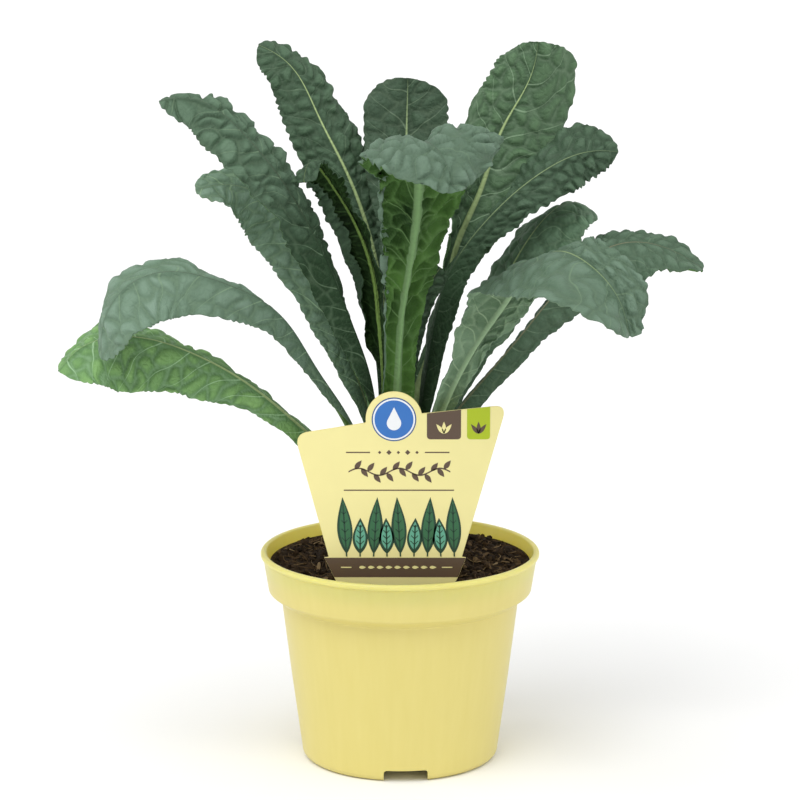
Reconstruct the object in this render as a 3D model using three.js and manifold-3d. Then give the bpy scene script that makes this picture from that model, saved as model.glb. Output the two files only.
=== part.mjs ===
// A potted lacinato kale: a tapered nursery pot, its potting soil, a plant card and one young plant with
// fourteen long blistered leaves and two small heart leaves. Sizes are in millimetres and +Z is up.
// The origin is on the pot's axis, in the plane that the pot stands on. The card faces -Y.
import * as THREE from "three";
import { mergeVertices } from "three/addons/utils/BufferGeometryUtils.js";
import Module from "manifold-3d";

const wasm = await Module();
wasm.setup();

// Driving dimensions
const GAP = 0.3; // left between pieces that touch
const POT = {
  sides: 42,
  height: 91,
  thickness: 1.5,
  rimRadius: 60, // over the bead
  beadRadius: 1.3,
  collarTopRadius: 58.9,
  collarFootRadius: 56.7,
  collarFoot: 74.8, // height of the collar's lower edge
  wallTopRadius: 51,
  wallTop: 69.8, // where the wall meets the collar's underside
  wallFootRadius: 42.9,
  footRounding: 3.4,
  footRingInner: 37.6,
  footRise: 5.2, // height of the hollow under the floor
  floorTop: 6.8,
  padRadius: 9, // disc in the middle of the underside
  draft: 0.6, // how far a moulded step leans
  edgeRounding: 1.4,
};
const NOTCH = { width: 18.7, height: 5.2, corner: 1.2, firstAngle: -86.6, count: 3 };
const DRAIN = { radius: 4, depth: 4, sides: 12, circle: 24, firstAngle: 30, count: 6 };
const SOIL = {
  sides: 42,
  edgeLevel: 79.8, // at the front
  dome: 3,
  lump: 0.8,
  rise: 6, // how much higher it lies at the back
  riseFrom: -45, // the Y between which it rises
  riseTo: 15,
};
const STEM = { sides: 20, x: -2, y: 0, radius: 6.4, foot: 58, top: 128.5 };
const CARD = {
  y: -32, // of its middle plane
  thickness: 0.8,
  tabX: -2.5, // the round tab's centre
  tabZ: 155.2,
  tabRadius: 11.8,
  tabFrom: 12, // angles at which the tab's arc starts and ends
  tabTo: 187,
  rounding: 6, // how far from the upper corners their curves start
  leftTop: [-44, 149], // corners, as [x, z]
  rightTop: [44.5, 161.5],
  leftNeck: [-29.9, 96],
  rightNeck: [26, 96],
  leftWaist: [-31.8, 95.8],
  rightWaist: [27.8, 95.8],
  leftSoil: [-27.1, 86],
  rightSoil: [24.1, 86.5],
  leftStake: [-15, 70],
  rightStake: [13, 70],
  leftTip: [-3.5, 40],
  rightTip: [-1.5, 40],
};
const LEAF = {
  rings: 26,
  spineSteps: 336,
  reach: 7.2, // from the stem's axis to where an outer leaf's midline starts
  blade: 0.9, // thickness
  margin: 1.2, // half width that is left at the very tip
  tooth: 0.8, // how far the margin's teeth stand out
  blister: 0.7, // height of the blisters between the veins
  ruffle: 1,
  waves: 7,
  crowding: 1.4, // over 1, the cross-sections stand closer together towards the tip
  groove: 0.5, // depth of the groove over the midrib
};
const HEART = { angles: [240, 299], reach: 3.8, length: 29, height: 129 };

// Each leaf: where it leaves the stem (compass angle and height), the compass heading and the climb of
// its spine at even steps from base to tip, its length, its half widths at even steps, how much wider
// its right half is, how long its rounded tip is in half widths, and the roll of the blade and the fold
// and curl of each half. Angles are in degrees. Fold and curl are positive where the halves rise. A hem
// turns the outer part of a half over, from a share of its width outwards and up to a share of the leaf's
// length: side -1 is left, 1 is right.
const LEAVES = [
  {
    at: 112, z: 124, length: 200, half: [2.6, 3.5, 8.5, 13.5, 15, 9], lop: -0.08, tip: 1,
    heading: [104, 94, 148, 159, 168], climb: [67, 81, 75, 76, 69, 60, 62, 19],
    roll: [0, 19, 44, 41], fold: [15, 9, -7], curl: [0, -11, -24],
  },
  {
    at: 208, z: 122, length: 205, half: [2.6, 6.5, 9, 12, 15, 8], lop: -0.17, tip: 1.2,
    heading: [213, 205, 184, 184, 171], climb: [89, 84, 70, 68, 63, 53, 39, -17],
    roll: [0, 46, 40, 41], fold: [0, -42, -5, -26], curl: [0, 0, -22],
  },
  {
    at: 158, z: 122, length: 163, half: [2.6, 6, 8.5, 11.5, 15.5, 9], lop: -0.19, tip: 1.9,
    heading: [156, 165, 171, 179, 196], climb: [88, 75, 68, 67, 65, 60, 22, -21],
    roll: [0, 42, 68, 37], fold: [10, -1, 6], curl: [0, -11, -6],
  },
  {
    at: 154, z: 129, reach: 3.2, length: 161, half: [2.2, 5, 11.8, 12.6, 11, 7], lop: 0.6, tip: 0.8,
    heading: [151, 147, 161, 212, 263], climb: [90, 90, 86, 84, 70, 56, 35, -55],
    roll: [-1, -49, -47, -18], fold: [-2, -17, -34, -9], curl: [20, -19],
    hem: { angle: -150, start: 0.5, end: 1, sides: [1] },
  },
  {
    at: -90, z: 122, length: 229, half: [2.6, 7.5, 9.5, 16.5, 23.5, 29.5, 26], lop: -0.08, tip: 1.1,
    heading: [-96, -77, -73, -90, -40], climb: [78, 84, 79, 64, 61, 33, 0, -80],
    roll: [-8, -8], fold: [13, -13, 4, 26, -9], curl: [8, -11, 1, -71, -6],
    hem: { angle: -140, start: 0.8, end: 0.72, sides: [1] }, groove: 3,
  },
  {
    at: 62, z: 129, reach: 3.2, length: 165, half: [2.2, 3.5, 6.5, 12, 18, 18.5], lop: -0.01, tip: 0.8,
    heading: [66, 92, 79, 89, 76], climb: [84, 71, 77, 75, 78, 80, 83, 83],
    roll: [-1, -3], fold: [12, 9, 14], curl: [0, -1, -13],
    groove: 1,
  },
  {
    at: 66, z: 124, length: 196, half: [2.6, 4, 6.5, 15, 21, 20], lop: 0.16, tip: 0.8,
    heading: [57, 39, 40, 29, -8], climb: [78, 69, 66, 78, 57, 69, 58, 86],
    roll: [1, -74, -72, -100], fold: [14, 36, -17], curl: [3, 13, -20],
    groove: 1.2,
  },
  {
    at: 18, z: 123, length: 184, half: [2.6, 5.5, 9.5, 12, 17, 13.5], lop: -0.15, tip: 0.9,
    heading: [20, 26, 15, 6, 20], climb: [83, 80, 81, 73, 52, 41, 24, -11],
    roll: [-6, -17, -21, -75], fold: [-13, -26, -18], curl: [-10, -14, -22],
  },
  {
    at: 35, z: 112, length: 165, half: [2.6, 5, 8, 13.5, 17.5, 13.5], lop: 0.25, tip: 1.2,
    heading: [34, 23, 19, 26, 22], climb: [61, 64, 66, 64, 64, 55, 31, -52],
    roll: [-1, -20, -24, 6], fold: [10, -3, -15], curl: [1, -11, -29],
  },
  {
    at: -48, z: 110, length: 216, half: [2.6, 6, 11.5, 20.5, 22, 21.5], lop: 0.44, tip: 1,
    heading: [-51, -34, -47, -64, -13], climb: [70, 68, 61, 50, 47, 15, -29, -84],
    roll: [0, 24, 39, -23, -25], fold: [2, -13, 3, 39], curl: [-6, -58, -21],
  },
  {
    at: -8, z: 103, length: 196, half: [2.6, 6, 7.5, 12, 18, 8.5], lop: 0.24, tip: 1.5,
    heading: [-5, 11, 15, 17, 9], climb: [80, 70, 50, 48, 49, 34, -11, -39],
    roll: [-1, -38, -22], fold: [2, -46, 3], curl: [1, -27, 12],
  },
  {
    at: 226, z: 110, length: 208, half: [2.6, 5.5, 8, 12, 18.5, 16], lop: -0.15, tip: 1.1,
    heading: [229, 211, 204, 187, 175], climb: [67, 67, 55, 58, 29, 10, -46, -98],
    roll: [2, 22, 40, 29], fold: [0, -34, -13], curl: [-1, -9, 1],
  },
  {
    at: 182, z: 104, length: 176, half: [2.6, 7.5, 8.5, 16.5, 23, 18.5], lop: -0.06, tip: 0.9,
    heading: [200, 198, 190, 191, 182], climb: [71, 49, 44, 41, 30, 19, -9, -58],
    roll: [3, 35, 36, 28], fold: [-2, -29, -22], curl: [-2, -16, -2],
  },
  {
    at: -20, z: 129, reach: 4.2, length: 88, half: [1.8, 2.4, 3.4, 5, 6], lop: 0, tip: 1.2,
    heading: [0, -5, -15, -15, 0], climb: [89, 88, 87, 85, 82, 77, 68, 52],
    roll: [-80, -80], fold: [5, 5], curl: [0, 0],
  },
];

const radians = THREE.MathUtils.degToRad;

// A smooth curve through values at even steps, read at share s of its length.
function blend(values, s) {
  const last = values.length - 1;
  const x = THREE.MathUtils.clamp(s, 0, 1) * last;
  const i = Math.min(Math.floor(x), last - 1);
  const f = x - i;
  const value = (k) => values[THREE.MathUtils.clamp(k, 0, last)];
  const [a, b, c, d] = [value(i - 1), value(i), value(i + 1), value(i + 2)];
  return b + 0.5 * f * (c - a + f * (2 * a - 5 * b + 4 * c - d + f * (3 * (b - c) + d - a)));
}

// A closed geometry as a solid for cutting and joining.
function solidOf(geometry) {
  const bare = geometry.index ? geometry.toNonIndexed() : geometry.clone();
  bare.deleteAttribute("normal");
  bare.deleteAttribute("uv");
  const merged = mergeVertices(bare, 1e-3);
  const index = merged.index.array;
  const triVerts = [];
  for (let i = 0; i < index.length; i += 3) {
    const [a, b, c] = [index[i], index[i + 1], index[i + 2]];
    if (a !== b && b !== c && c !== a) triVerts.push(a, b, c);
  }
  return new wasm.Manifold(
    new wasm.Mesh({
      numProp: 3,
      vertProperties: merged.attributes.position.array,
      triVerts: new Uint32Array(triVerts),
    }),
  );
}

function geometryOf(solid) {
  const mesh = solid.getMesh();
  return new THREE.BufferGeometry()
    .setAttribute("position", new THREE.BufferAttribute(mesh.vertProperties, 3))
    .setIndex(new THREE.BufferAttribute(mesh.triVerts, 1));
}

// Turns an outline of [radius, height] pairs round the Z axis.
function turned(outline, sides) {
  const points = outline.map(([r, z]) => new THREE.Vector2(r, z));
  return new THREE.LatheGeometry(points, sides).rotateX(Math.PI / 2);
}

// A quarter round from angle a to angle b about a centre in the [radius, height] plane.
function arc(r, z, radius, a, b, steps) {
  return Array.from({ length: steps + 1 }, (_, i) => {
    const angle = radians(a + ((b - a) * i) / steps);
    return [r + radius * Math.cos(angle), z + radius * Math.sin(angle)];
  });
}

// The outer radius of the pot's wall at the level z.
function wallRadius(z) {
  const { footRounding, wallTop, wallFootRadius, wallTopRadius } = POT;
  return THREE.MathUtils.mapLinear(z, footRounding, wallTop, wallFootRadius, wallTopRadius);
}

// How much wider the collar gets for each millimetre of height.
function collarLean() {
  return (POT.collarTopRadius - POT.collarFootRadius) / (POT.height - POT.collarFoot);
}

// The outline of the room inside the pot, from the floor up to the level z.
function innerOutline(inset, z) {
  const t = POT.thickness + inset;
  const floor = POT.floorTop + inset;
  const ledge = POT.collarFoot + POT.edgeRounding;
  const out = [
    [wallRadius(floor) - t, floor],
    [POT.wallTopRadius - t, POT.wallTop + POT.thickness / 2],
    [POT.collarFootRadius - t, ledge],
  ];
  return [...out, [POT.collarFootRadius + collarLean() * (z - POT.collarFoot) - t, z]];
}

function potGeometry() {
  const { beadRadius: bead, draft, edgeRounding } = POT;
  const topInner = POT.collarTopRadius - POT.thickness;
  const foot = arc(wallRadius(0) - POT.footRounding, POT.footRounding, POT.footRounding, 270, 360, 3);
  const outline = [
    [0, 0],
    [POT.padRadius, 0],
    [POT.padRadius + draft, POT.footRise],
    [POT.footRingInner, POT.footRise],
    [POT.footRingInner + draft, 0],
    ...foot,
    [POT.wallTopRadius, POT.wallTop],
    [POT.wallTopRadius + edgeRounding, POT.wallTop + draft],
    [POT.collarFootRadius - draft, POT.collarFoot - edgeRounding],
    [POT.collarFootRadius, POT.collarFoot],
    [POT.collarTopRadius, POT.height - 2 * bead],
    ...arc(POT.rimRadius - bead, POT.height - bead, bead, -50, 90, 4),
    [topInner + draft, POT.height],
    [topInner, POT.height - draft],
    ...innerOutline(0, POT.height - 4).reverse(),
    [0, POT.floorTop],
  ];
  let pot = solidOf(turned(outline, POT.sides));
  pot = pot.subtract(notches()).subtract(drains());
  return geometryOf(pot);
}

function joined(solids) {
  return solids.reduce((all, one) => all.add(one));
}

// Rounded openings through the foot ring, open below.
function notches() {
  const { width, height, corner } = NOTCH;
  const shape = new THREE.Shape()
    .moveTo(-width / 2, -1)
    .lineTo(width / 2, -1)
    .lineTo(width / 2, height - corner)
    .lineTo(width / 2 - corner, height)
    .lineTo(-width / 2 + corner, height)
    .lineTo(-width / 2, height - corner);
  const depth = POT.rimRadius - POT.footRingInner + 1;
  return joined(
    Array.from({ length: NOTCH.count }, (_, i) => {
      const cutter = new THREE.ExtrudeGeometry(shape, { depth, bevelEnabled: false })
        .rotateX(Math.PI / 2)
        .translate(0, POT.rimRadius, 0)
        .rotateZ(radians(NOTCH.firstAngle - 90 + (360 * i) / NOTCH.count));
      return solidOf(cutter);
    }),
  );
}

// The drain holes through the floor.
function drains() {
  const middle = (POT.footRise + POT.floorTop) / 2;
  return joined(
    Array.from({ length: DRAIN.count }, (_, i) => {
      const angle = radians(DRAIN.firstAngle + (360 * i) / DRAIN.count);
      const hole = new THREE.CylinderGeometry(DRAIN.radius, DRAIN.radius, DRAIN.depth, DRAIN.sides)
        .rotateX(Math.PI / 2)
        .translate(DRAIN.circle * Math.cos(angle), DRAIN.circle * Math.sin(angle), middle);
      return solidOf(hole);
    }),
  );
}

// Height of the soil's uneven surface, which rises towards the back.
function soilHeight(x, y, edge) {
  const r = Math.hypot(x, y);
  const lumps = Math.sin(x * 0.43 + 1) * Math.cos(y * 0.37) + Math.sin(x * 0.19 - y * 0.23 + 2);
  const level = SOIL.edgeLevel + SOIL.rise * THREE.MathUtils.smoothstep(y, SOIL.riseFrom, SOIL.riseTo);
  return level + SOIL.dome * (1 - (r / edge) ** 2) + SOIL.lump * lumps * Math.min(1, (edge - r) / 4);
}

function soilGeometry() {
  const side = innerOutline(GAP + 0.1, SOIL.edgeLevel);
  const edge = side.at(-1)[0];
  const rings = [0.86, 0.7, 0.54, 0.38, 0.22].map((share) => [edge * share, SOIL.edgeLevel]);
  const outline = [[0, side[0][1]], ...side, ...rings, [0, SOIL.edgeLevel]];
  const body = turned(outline, SOIL.sides);
  const position = body.attributes.position;
  for (let i = 0; i < position.count; i++) {
    if (position.getZ(i) < SOIL.edgeLevel - 1e-3) continue;
    const [x, y] = [position.getX(i), position.getY(i)];
    const z = soilHeight(x, y, edge);
    const wider = 1 + (collarLean() * (z - SOIL.edgeLevel)) / edge;
    position.setXYZ(i, x * wider, y * wider, z);
  }
  const stemHole = turned(stemOutline(GAP), STEM.sides).translate(STEM.x, STEM.y, 0);
  return geometryOf(solidOf(body).subtract(solidOf(stemHole)).subtract(solidOf(cardPlate(GAP))));
}

// The stem's outline, grown by a gap for the hole that it stands in.
function stemOutline(grow) {
  const r = STEM.radius + grow;
  return [
    [0, STEM.foot - grow],
    [r * 0.75, STEM.foot - grow],
    [r, STEM.foot + 3],
    [r, STEM.top - 8],
    [r * 0.9, STEM.top - 4],
    [r * 0.65, STEM.top - 1.2],
    [r * 0.3, STEM.top],
    [0, STEM.top],
  ];
}

// The card's outline: a slanted top edge with a round tab, sides that draw in to a neck, a wider foot
// and a pointed stake. It is grown by a gap for the slot that it stands in.
function cardShape(grow) {
  const moved = (side, rise, [x, z]) => new THREE.Vector2(x + side * grow, z + rise * grow);
  const near = (a, b) => b.clone().sub(a).setLength(CARD.rounding).add(a);
  const leftTop = moved(-1, 1, CARD.leftTop);
  const rightTop = moved(1, 1, CARD.rightTop);
  const leftNeck = moved(-1, 0, CARD.leftNeck);
  const rightNeck = moved(1, 0, CARD.rightNeck);
  const tab = new THREE.Vector2(CARD.tabX, CARD.tabZ);
  const rightCurve = [near(rightTop, rightNeck), near(rightTop, tab)];
  const leftCurve = [near(leftTop, tab), near(leftTop, leftNeck)];
  return new THREE.Shape([
    moved(-1, -1, CARD.leftTip),
    moved(1, -1, CARD.rightTip),
    moved(1, 0, CARD.rightStake),
    moved(1, 0, CARD.rightSoil),
    moved(1, 0, CARD.rightWaist),
    rightNeck,
    rightCurve[0],
  ])
    .quadraticCurveTo(...rightTop, ...rightCurve[1])
    .absarc(...tab, CARD.tabRadius + grow, radians(CARD.tabFrom), radians(CARD.tabTo), false)
    .lineTo(...leftCurve[0])
    .quadraticCurveTo(...leftTop, ...leftCurve[1])
    .lineTo(...leftNeck)
    .lineTo(...moved(-1, 0, CARD.leftWaist))
    .lineTo(...moved(-1, 0, CARD.leftSoil))
    .lineTo(...moved(-1, 0, CARD.leftStake));
}

function cardPlate(grow) {
  return new THREE.ExtrudeGeometry(cardShape(grow), {
    depth: CARD.thickness + 2 * grow,
    bevelEnabled: false,
    curveSegments: 10,
  })
    .rotateX(Math.PI / 2)
    .translate(0, CARD.y + CARD.thickness / 2 + grow, 0);
}

// The spine of a leaf and, at shares s along it, the directions forwards, to the right and up.
function leafFrames(leaf, shares) {
  const step = leaf.length / LEAF.spineSteps;
  const at = radians(leaf.at);
  const reach = leaf.reach ?? LEAF.reach;
  const forwards = (s) => {
    const heading = radians(blend(leaf.heading, s));
    const climb = radians(blend(leaf.climb, s));
    return new THREE.Vector3(
      Math.cos(climb) * Math.cos(heading),
      Math.cos(climb) * Math.sin(heading),
      Math.sin(climb),
    );
  };
  const spine = [
    new THREE.Vector3(STEM.x + reach * Math.cos(at), STEM.y + reach * Math.sin(at), leaf.z),
  ];
  for (let i = 0; i < LEAF.spineSteps; i++)
    spine.push(spine[i].clone().addScaledVector(forwards((i + 0.5) / LEAF.spineSteps), step));
  return shares.map((s) => {
    const i = Math.min(Math.floor(s * LEAF.spineSteps), LEAF.spineSteps - 1);
    const centre = spine[i].clone().lerp(spine[i + 1], s * LEAF.spineSteps - i);
    const heading = radians(blend(leaf.heading, s));
    const roll = radians(blend(leaf.roll, s));
    const ahead = forwards(s);
    const level = new THREE.Vector3(Math.sin(heading), -Math.cos(heading), 0);
    const above = level.clone().cross(ahead);
    const right = level.clone().multiplyScalar(Math.cos(roll)).addScaledVector(above, Math.sin(roll));
    const up = above.multiplyScalar(Math.cos(roll)).addScaledVector(level, -Math.sin(roll));
    return { centre, right, up };
  });
}

function leafHalfWidth(leaf, s) {
  const tipStart = 1 - (leaf.tip * leaf.half.at(-1)) / leaf.length;
  const u = THREE.MathUtils.clamp((s - tipStart) / (1 - tipStart), 0, 1);
  const roundness = Math.sqrt(Math.max(0, 1 - u ** 2.2));
  return LEAF.margin + (blend(leaf.half, s) - LEAF.margin) * roundness;
}

// The midrib's half width and depth. It is slighter on a small leaf.
function rib(leaf, s) {
  const size = Math.min(1, leaf.half[0] / 2.6);
  return [3 * (1 - s) ** 0.8 + 0.7, size * (2.6 * (1 - s) ** 1.1 + 0.5)];
}

// The slope of one half of the blade at share t of the way from the midrib to the margin.
function leafLean({ fold, curl, hem, start }, t) {
  return fold + curl * t + hem * THREE.MathUtils.smoothstep(t, start, (1 + start) / 2);
}

// How far one half of the blade has gone sideways and upwards at share t, for a half width of 1.
function leafProfile(bend, t) {
  const steps = 12;
  let [across, above] = [0, 0];
  for (let i = 0; i < steps; i++) {
    const lean = leafLean(bend, (t * (i + 0.5)) / steps);
    across += Math.cos(lean) / steps;
    above += Math.sin(lean) / steps;
  }
  return [across, above];
}

// One cross-section: matching points on the upper and the lower face, from the left margin to the right.
function leafSection(leaf, s, parity, frame) {
  const width = leafHalfWidth(leaf, s);
  const [ribWidth, ribDepth] = rib(leaf, s);
  const ribEdge = Math.min(ribWidth, width * 0.8);
  const offsets = [0, ribEdge, (ribEdge + width) / 2, width];
  const grow = THREE.MathUtils.clamp((width - 4) / 8, 0, 1);
  const fold = radians(blend(leaf.fold, s));
  const curl = radians(blend(leaf.curl, s));
  const { angle, start, end, sides } = leaf.hem ?? { angle: 0, start: 0.5, end: 1, sides: [] };
  const turn = radians(angle) * grow * (1 - THREE.MathUtils.smoothstep(s, end - 0.1, end));
  const top = [];
  const bottom = [];
  for (let k = -3; k <= 3; k++) {
    const side = k < 0 ? -1 : 1;
    const near = offsets[Math.abs(k)];
    const t = near / width;
    const reach = near * (1 + side * leaf.lop * grow);
    const hem = sides.includes(side) ? turn : 0;
    const [across, above] = leafProfile({ fold, curl, hem, start }, t);
    const lean = leafLean({ fold, curl, hem, start }, t);
    const normal = frame.up.clone().multiplyScalar(Math.cos(lean));
    normal.addScaledVector(frame.right, -side * Math.sin(lean));
    if (k === 0) normal.copy(frame.up);
    else if (Math.abs(k) === 1) normal.add(frame.up).normalize();
    const outwards = frame.right.clone().multiplyScalar(side * Math.cos(lean));
    outwards.addScaledVector(frame.up, Math.sin(lean));
    const wave = Math.sin(2 * Math.PI * LEAF.waves * s + 1.3 * side);
    const ruffle = LEAF.ruffle * t ** 2 * grow * wave;
    const blister = Math.abs(k) === 2 ? LEAF.blister * grow * parity : 0;
    const tooth = Math.abs(k) === 3 ? LEAF.tooth * grow * parity : 0;
    const groove = k === 0 ? (leaf.groove ?? LEAF.groove) * grow : 0;
    const point = frame.centre
      .clone()
      .addScaledVector(frame.right, side * reach * across)
      .addScaledVector(frame.up, reach * above)
      .addScaledVector(normal, ruffle + blister - groove)
      .addScaledVector(outwards, tooth);
    const keel = ribDepth * Math.max(0, 1 - (near / ribEdge) ** 2);
    top.push(point);
    bottom.push(point.clone().addScaledVector(normal, -LEAF.blade - keel));
  }
  return { top, bottom };
}

// A leaf as one closed body: cross-sections joined along its length, split alike on both faces.
function leafGeometry(leaf) {
  const rings = leaf.rings ?? LEAF.rings;
  const shares = Array.from({ length: rings + 1 }, (_, i) => 1 - (1 - i / rings) ** LEAF.crowding);
  const frames = leafFrames(leaf, shares);
  const sections = shares.map((s, i) => leafSection(leaf, s, i % 2 ? -1 : 1, frames[i]));
  const columns = 7;
  const lower = sections.length * columns;
  const points = [...sections.flatMap((r) => r.top), ...sections.flatMap((r) => r.bottom)];
  const faces = [];
  const quad = (a, b, c, d) => faces.push(a, b, c, a, c, d);
  for (let i = 0; i < rings; i++) {
    for (let j = 0; j < columns - 1; j++) {
      const [a, b] = [i * columns + j, i * columns + j + 1];
      const [d, c] = [a + columns, b + columns];
      const pair = (i + j) % 2 ? [a, b, d, b, c, d] : [a, b, c, a, c, d];
      for (let k = 0; k < 6; k += 3) {
        const [p, q, r] = pair.slice(k, k + 3);
        faces.push(p, q, r, p + lower, r + lower, q + lower);
      }
    }
    const left = i * columns;
    const right = left + columns - 1;
    quad(left, left + columns, left + columns + lower, left + lower);
    quad(right, right + lower, right + columns + lower, right + columns);
  }
  for (let j = 0; j < columns - 1; j++) {
    const end = rings * columns + j;
    quad(j, j + lower, j + 1 + lower, j + 1);
    quad(end, end + 1, end + 1 + lower, end + lower);
  }
  return new THREE.BufferGeometry()
    .setAttribute("position", new THREE.Float32BufferAttribute(points.flatMap((p) => p.toArray()), 3))
    .setIndex(faces);
}

// The small leaves in the heart of the plant stand round the stem's top.
function heartLeaf(at) {
  return {
    at, z: HEART.height, length: HEART.length, reach: HEART.reach, rings: 12, lop: 0, tip: 1.2,
    half: [1.1, 1.3, 2.1, 2.4, 1.8], heading: [at, at], climb: [86, 84, 80],
    roll: [0, 0], fold: [30, 35], curl: [0, 20],
  };
}

const COLOURS = {
  pot: [0xf0e089, 0.42],
  soil: [0x35251b, 0.95],
  stem: [0x9aa77c, 0.6],
  leaf: [0x4a6b58, 0.62],
  heart: [0x6d9a52, 0.6],
  card: [0xf3eba4, 0.45],
};

function piece(name, geometry, [color, roughness]) {
  const material = new THREE.MeshStandardMaterial({ color, roughness, metalness: 0 });
  const mesh = new THREE.Mesh(geometry, material);
  mesh.name = name;
  return mesh;
}

const plant = new THREE.Group();
const stem = piece("stem", turned(stemOutline(0), STEM.sides), COLOURS.stem);
stem.position.set(STEM.x, STEM.y, 0);
plant.add(stem);
LEAVES.forEach((leaf, i) => {
  plant.add(piece("leaf_" + String(i + 1).padStart(2, "0"), leafGeometry(leaf), COLOURS.leaf));
});
HEART.angles.forEach((at, i) => {
  plant.add(piece("heart_leaf_" + (i + 1), leafGeometry(heartLeaf(at)), COLOURS.heart));
});

const pottedKale = new THREE.Group();
pottedKale.add(
  piece("pot", potGeometry(), COLOURS.pot),
  piece("soil", soilGeometry(), COLOURS.soil),
  piece("card", cardPlate(0), COLOURS.card),
  plant,
);

export default pottedKale;
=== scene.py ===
"""The looks of a potted lacinato kale: blistered leaves, peat, a moulded pot and a printed plant card.

Lengths are in millimetres until a mesh is made, and +Z is up. The card faces -Y.
"""

import math
from types import SimpleNamespace as Size

import bmesh
import bpy
import numpy as np
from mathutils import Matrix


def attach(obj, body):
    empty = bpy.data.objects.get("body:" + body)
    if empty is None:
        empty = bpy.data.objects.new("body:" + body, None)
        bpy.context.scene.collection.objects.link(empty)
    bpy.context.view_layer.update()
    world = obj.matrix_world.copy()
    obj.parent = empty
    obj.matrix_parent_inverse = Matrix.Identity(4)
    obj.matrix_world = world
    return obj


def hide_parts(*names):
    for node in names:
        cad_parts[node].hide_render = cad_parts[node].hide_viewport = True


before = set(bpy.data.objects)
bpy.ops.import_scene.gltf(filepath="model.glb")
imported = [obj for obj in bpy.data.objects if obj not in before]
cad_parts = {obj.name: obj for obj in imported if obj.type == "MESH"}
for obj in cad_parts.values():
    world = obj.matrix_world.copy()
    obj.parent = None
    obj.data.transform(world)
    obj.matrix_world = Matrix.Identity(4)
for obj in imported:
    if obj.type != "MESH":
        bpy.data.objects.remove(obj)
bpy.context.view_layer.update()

MM = 0.001

# Driving dimensions. Forms are as in the construction, with more sides and finer details, a thinner
# blade, and a little more room round the soil and under the stem.
POT = Size(
    height=91, thickness=1.5, rim_radius=60, bead_radius=1.3,
    collar_top_radius=58.9, collar_foot_radius=56.7, collar_foot=74.8,
    wall_top_radius=51, wall_top=69.8, wall_foot_radius=42.9,
    foot_rounding=3.4, foot_ring_inner=37.6, foot_rise=5.2, floor_top=6.8, pad_radius=9,
    draft=0.6, edge_rounding=1.4, sides=160,
)
NOTCH = Size(width=18.7, height=5.2, corner=1.2, first_angle=-86.6, count=3)
DRAIN = Size(radius=4, circle=24, first_angle=30, count=6)
SOIL = Size(edge_level=79.8, dome=3, lump=0.8, gap=0.4, rise=6, rise_from=-45, rise_to=15)
CRUMBS, FIBRES = 3200, 460
STEM = Size(x=-2, y=0, radius=6.4, top=128.5, foot=60)
CARD = Size(
    y=-32, thickness=0.8, tab=(-2.5, 155.2), tab_radius=11.8, tab_from=12, tab_to=187, rounding=6,
    left_top=(-44, 149), right_top=(44.5, 161.5), left_neck=(-29.9, 96), right_neck=(26, 96),
    left_waist=(-31.8, 95.8), right_waist=(27.8, 95.8), left_soil=(-27.1, 86), right_soil=(24.1, 86.5),
    left_stake=(-15, 70), right_stake=(13, 70), left_tip=(-3.5, 40), right_tip=(-1.5, 40),
)
INK = 0.07  # how far each layer of ink stands out
LEAF = Size(
    spine_steps=336, reach=7.2, blade=0.8, margin=1.2, ruffle=1, waves=7, crowding=1.4, groove=0.5,
    calm=0.2, row=0.75, rib_columns=(0.18, 0.42, 0.7, 1), blade_columns=19, laterals=13, net=3,
)
HEART = Size(angles=(240, 299), reach=3.8, length=29, height=129)

# Camera: how far it stands from the pot's axis, how high it aims, and the angle that it looks down
CAMERA = Size(distance=1300, aim=156.6, pitch=0.2077, lens=137.25)
SKY = 0.7  # strength of the light from all round

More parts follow.
